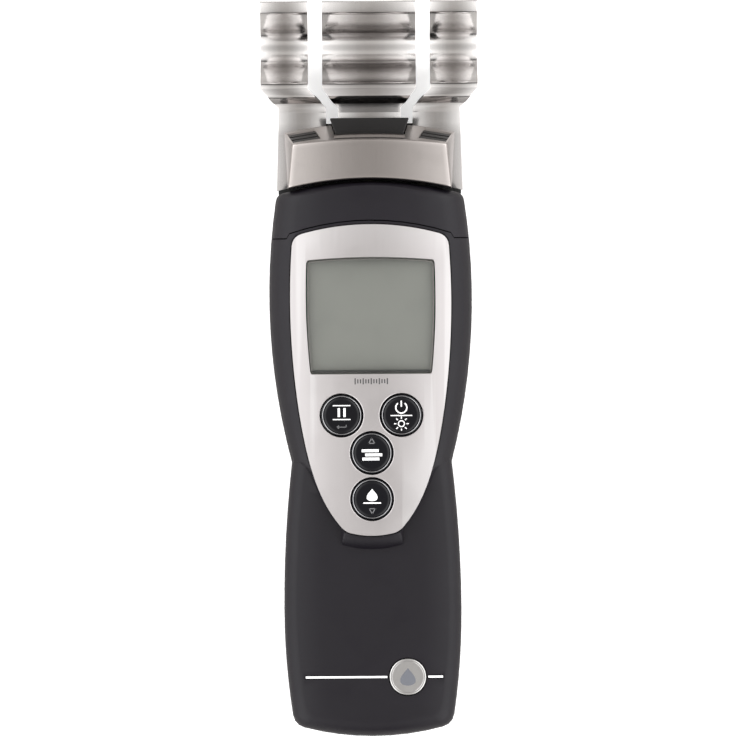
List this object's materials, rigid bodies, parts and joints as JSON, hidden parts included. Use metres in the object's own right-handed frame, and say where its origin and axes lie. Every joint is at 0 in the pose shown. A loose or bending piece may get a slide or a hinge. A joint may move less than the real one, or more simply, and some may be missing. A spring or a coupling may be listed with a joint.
{
  "type": "handheld moisture meter",
  "caption": "Handheld moisture meter with bent sheet contact electrodes, a shield-shaped silver fascia with display and round keys, and a waisted black housing.",
  "frame": {"origin": "middle of the meter's outline, on the surface it lies on", "axes": "+Z out of the display, +Y towards the electrodes, +X to the reader's right"},
  "size_m": [0.069, 0.2334, 0.04],
  "materials": {
    "housing_black": "fine textured black moulding",
    "collar_steel": "satin, drawn lengthwise",
    "electrode_steel": "bright rolled sheet",
    "insulator_black": "plain moulding",
    "screw_steel": "bright plated",
    "seal_rubber": "dull",
    "fascia_silver": "satin silver",
    "window_clear": "clear, gloss",
    "display_grey": "grey-green display, switched off",
    "white_moulding": "white",
    "board_laminate": "green solder mask",
    "chip_resin": "dull black",
    "battery_jacket": "dark printed jacket",
    "lead_red": "red sleeve",
    "lead_black": "black sleeve",
    "badge_metal": "satin disc",
    "trim_white": "white inlay",
    "key_gloss": "gloss black"
  },
  "bodies": {
    "housing": {"front_shell": "housing_black", "rear_shell": "housing_black", "head_cover": "housing_black", "head_collar": "collar_steel", "electrode_left": "electrode_steel", "electrode_right": "electrode_steel", "electrode_centre": "electrode_steel", "electrode_block": "insulator_black", "electrode_carrier": "insulator_black", "electrode_screw_left": "screw_steel", "electrode_screw_right": "screw_steel", "electrode_screw_centre": "screw_steel", "head_gasket": "seal_rubber", "fascia_bezel": "fascia_silver", "display_window": "window_clear", "lcd_glass": "display_grey", "lcd_frame": "white_moulding", "backlight_panel": "white_moulding", "zebra_strip_top": "seal_rubber", "zebra_strip_bottom": "seal_rubber", "main_board": "board_laminate", "microcontroller": "chip_resin", "crystal_can": "screw_steel", "measuring_chip": "chip_resin", "shield_can": "screw_steel", "buzzer": "chip_resin", "contact_spring_left": "screw_steel", "contact_spring_centre": "screw_steel", "contact_spring_right": "screw_steel", "keypad_membrane": "seal_rubber", "dome_hold": "screw_steel", "dome_power": "screw_steel", "dome_up": "screw_steel", "dome_down": "screw_steel", "battery_9v": "battery_jacket", "battery_snap": "insulator_black", "battery_lead_red": "lead_red", "battery_lead_black": "lead_black", "housing_screw_1": "screw_steel", "housing_screw_2": "screw_steel", "housing_screw_3": "screw_steel", "housing_screw_4": "screw_steel", "housing_screw_5": "screw_steel", "housing_screw_6": "screw_steel", "badge_disc": "badge_metal", "trim_line_left": "trim_white", "trim_line_right": "trim_white"},
    "key_hold": {"key_hold": "key_gloss"},
    "key_power": {"key_power": "key_gloss"},
    "key_up": {"key_up": "key_gloss"},
    "key_down": {"key_down": "key_gloss"},
    "battery_door": {"battery_door": "housing_black", "battery_foam": "seal_rubber"}
  },
  "joints": [
    {"name": "press_hold", "type": "slide", "parent": "housing", "child": "key_hold", "axis": [0, 0, -1], "range_m": [0, 0.0008], "stiffness_N_per_m": 800},
    {"name": "press_power", "type": "slide", "parent": "housing", "child": "key_power", "axis": [0, 0, -1], "range_m": [0, 0.0008], "stiffness_N_per_m": 800},
    {"name": "press_up", "type": "slide", "parent": "housing", "child": "key_up", "axis": [0, 0, -1], "range_m": [0, 0.0008], "stiffness_N_per_m": 800},
    {"name": "press_down", "type": "slide", "parent": "housing", "child": "key_down", "axis": [0, 0, -1], "range_m": [0, 0.0008], "stiffness_N_per_m": 800},
    {"name": "door_slide", "type": "slide", "parent": "housing", "child": "battery_door", "axis": [0, -1, 0], "range_m": [0, 0.064]}
  ]
}
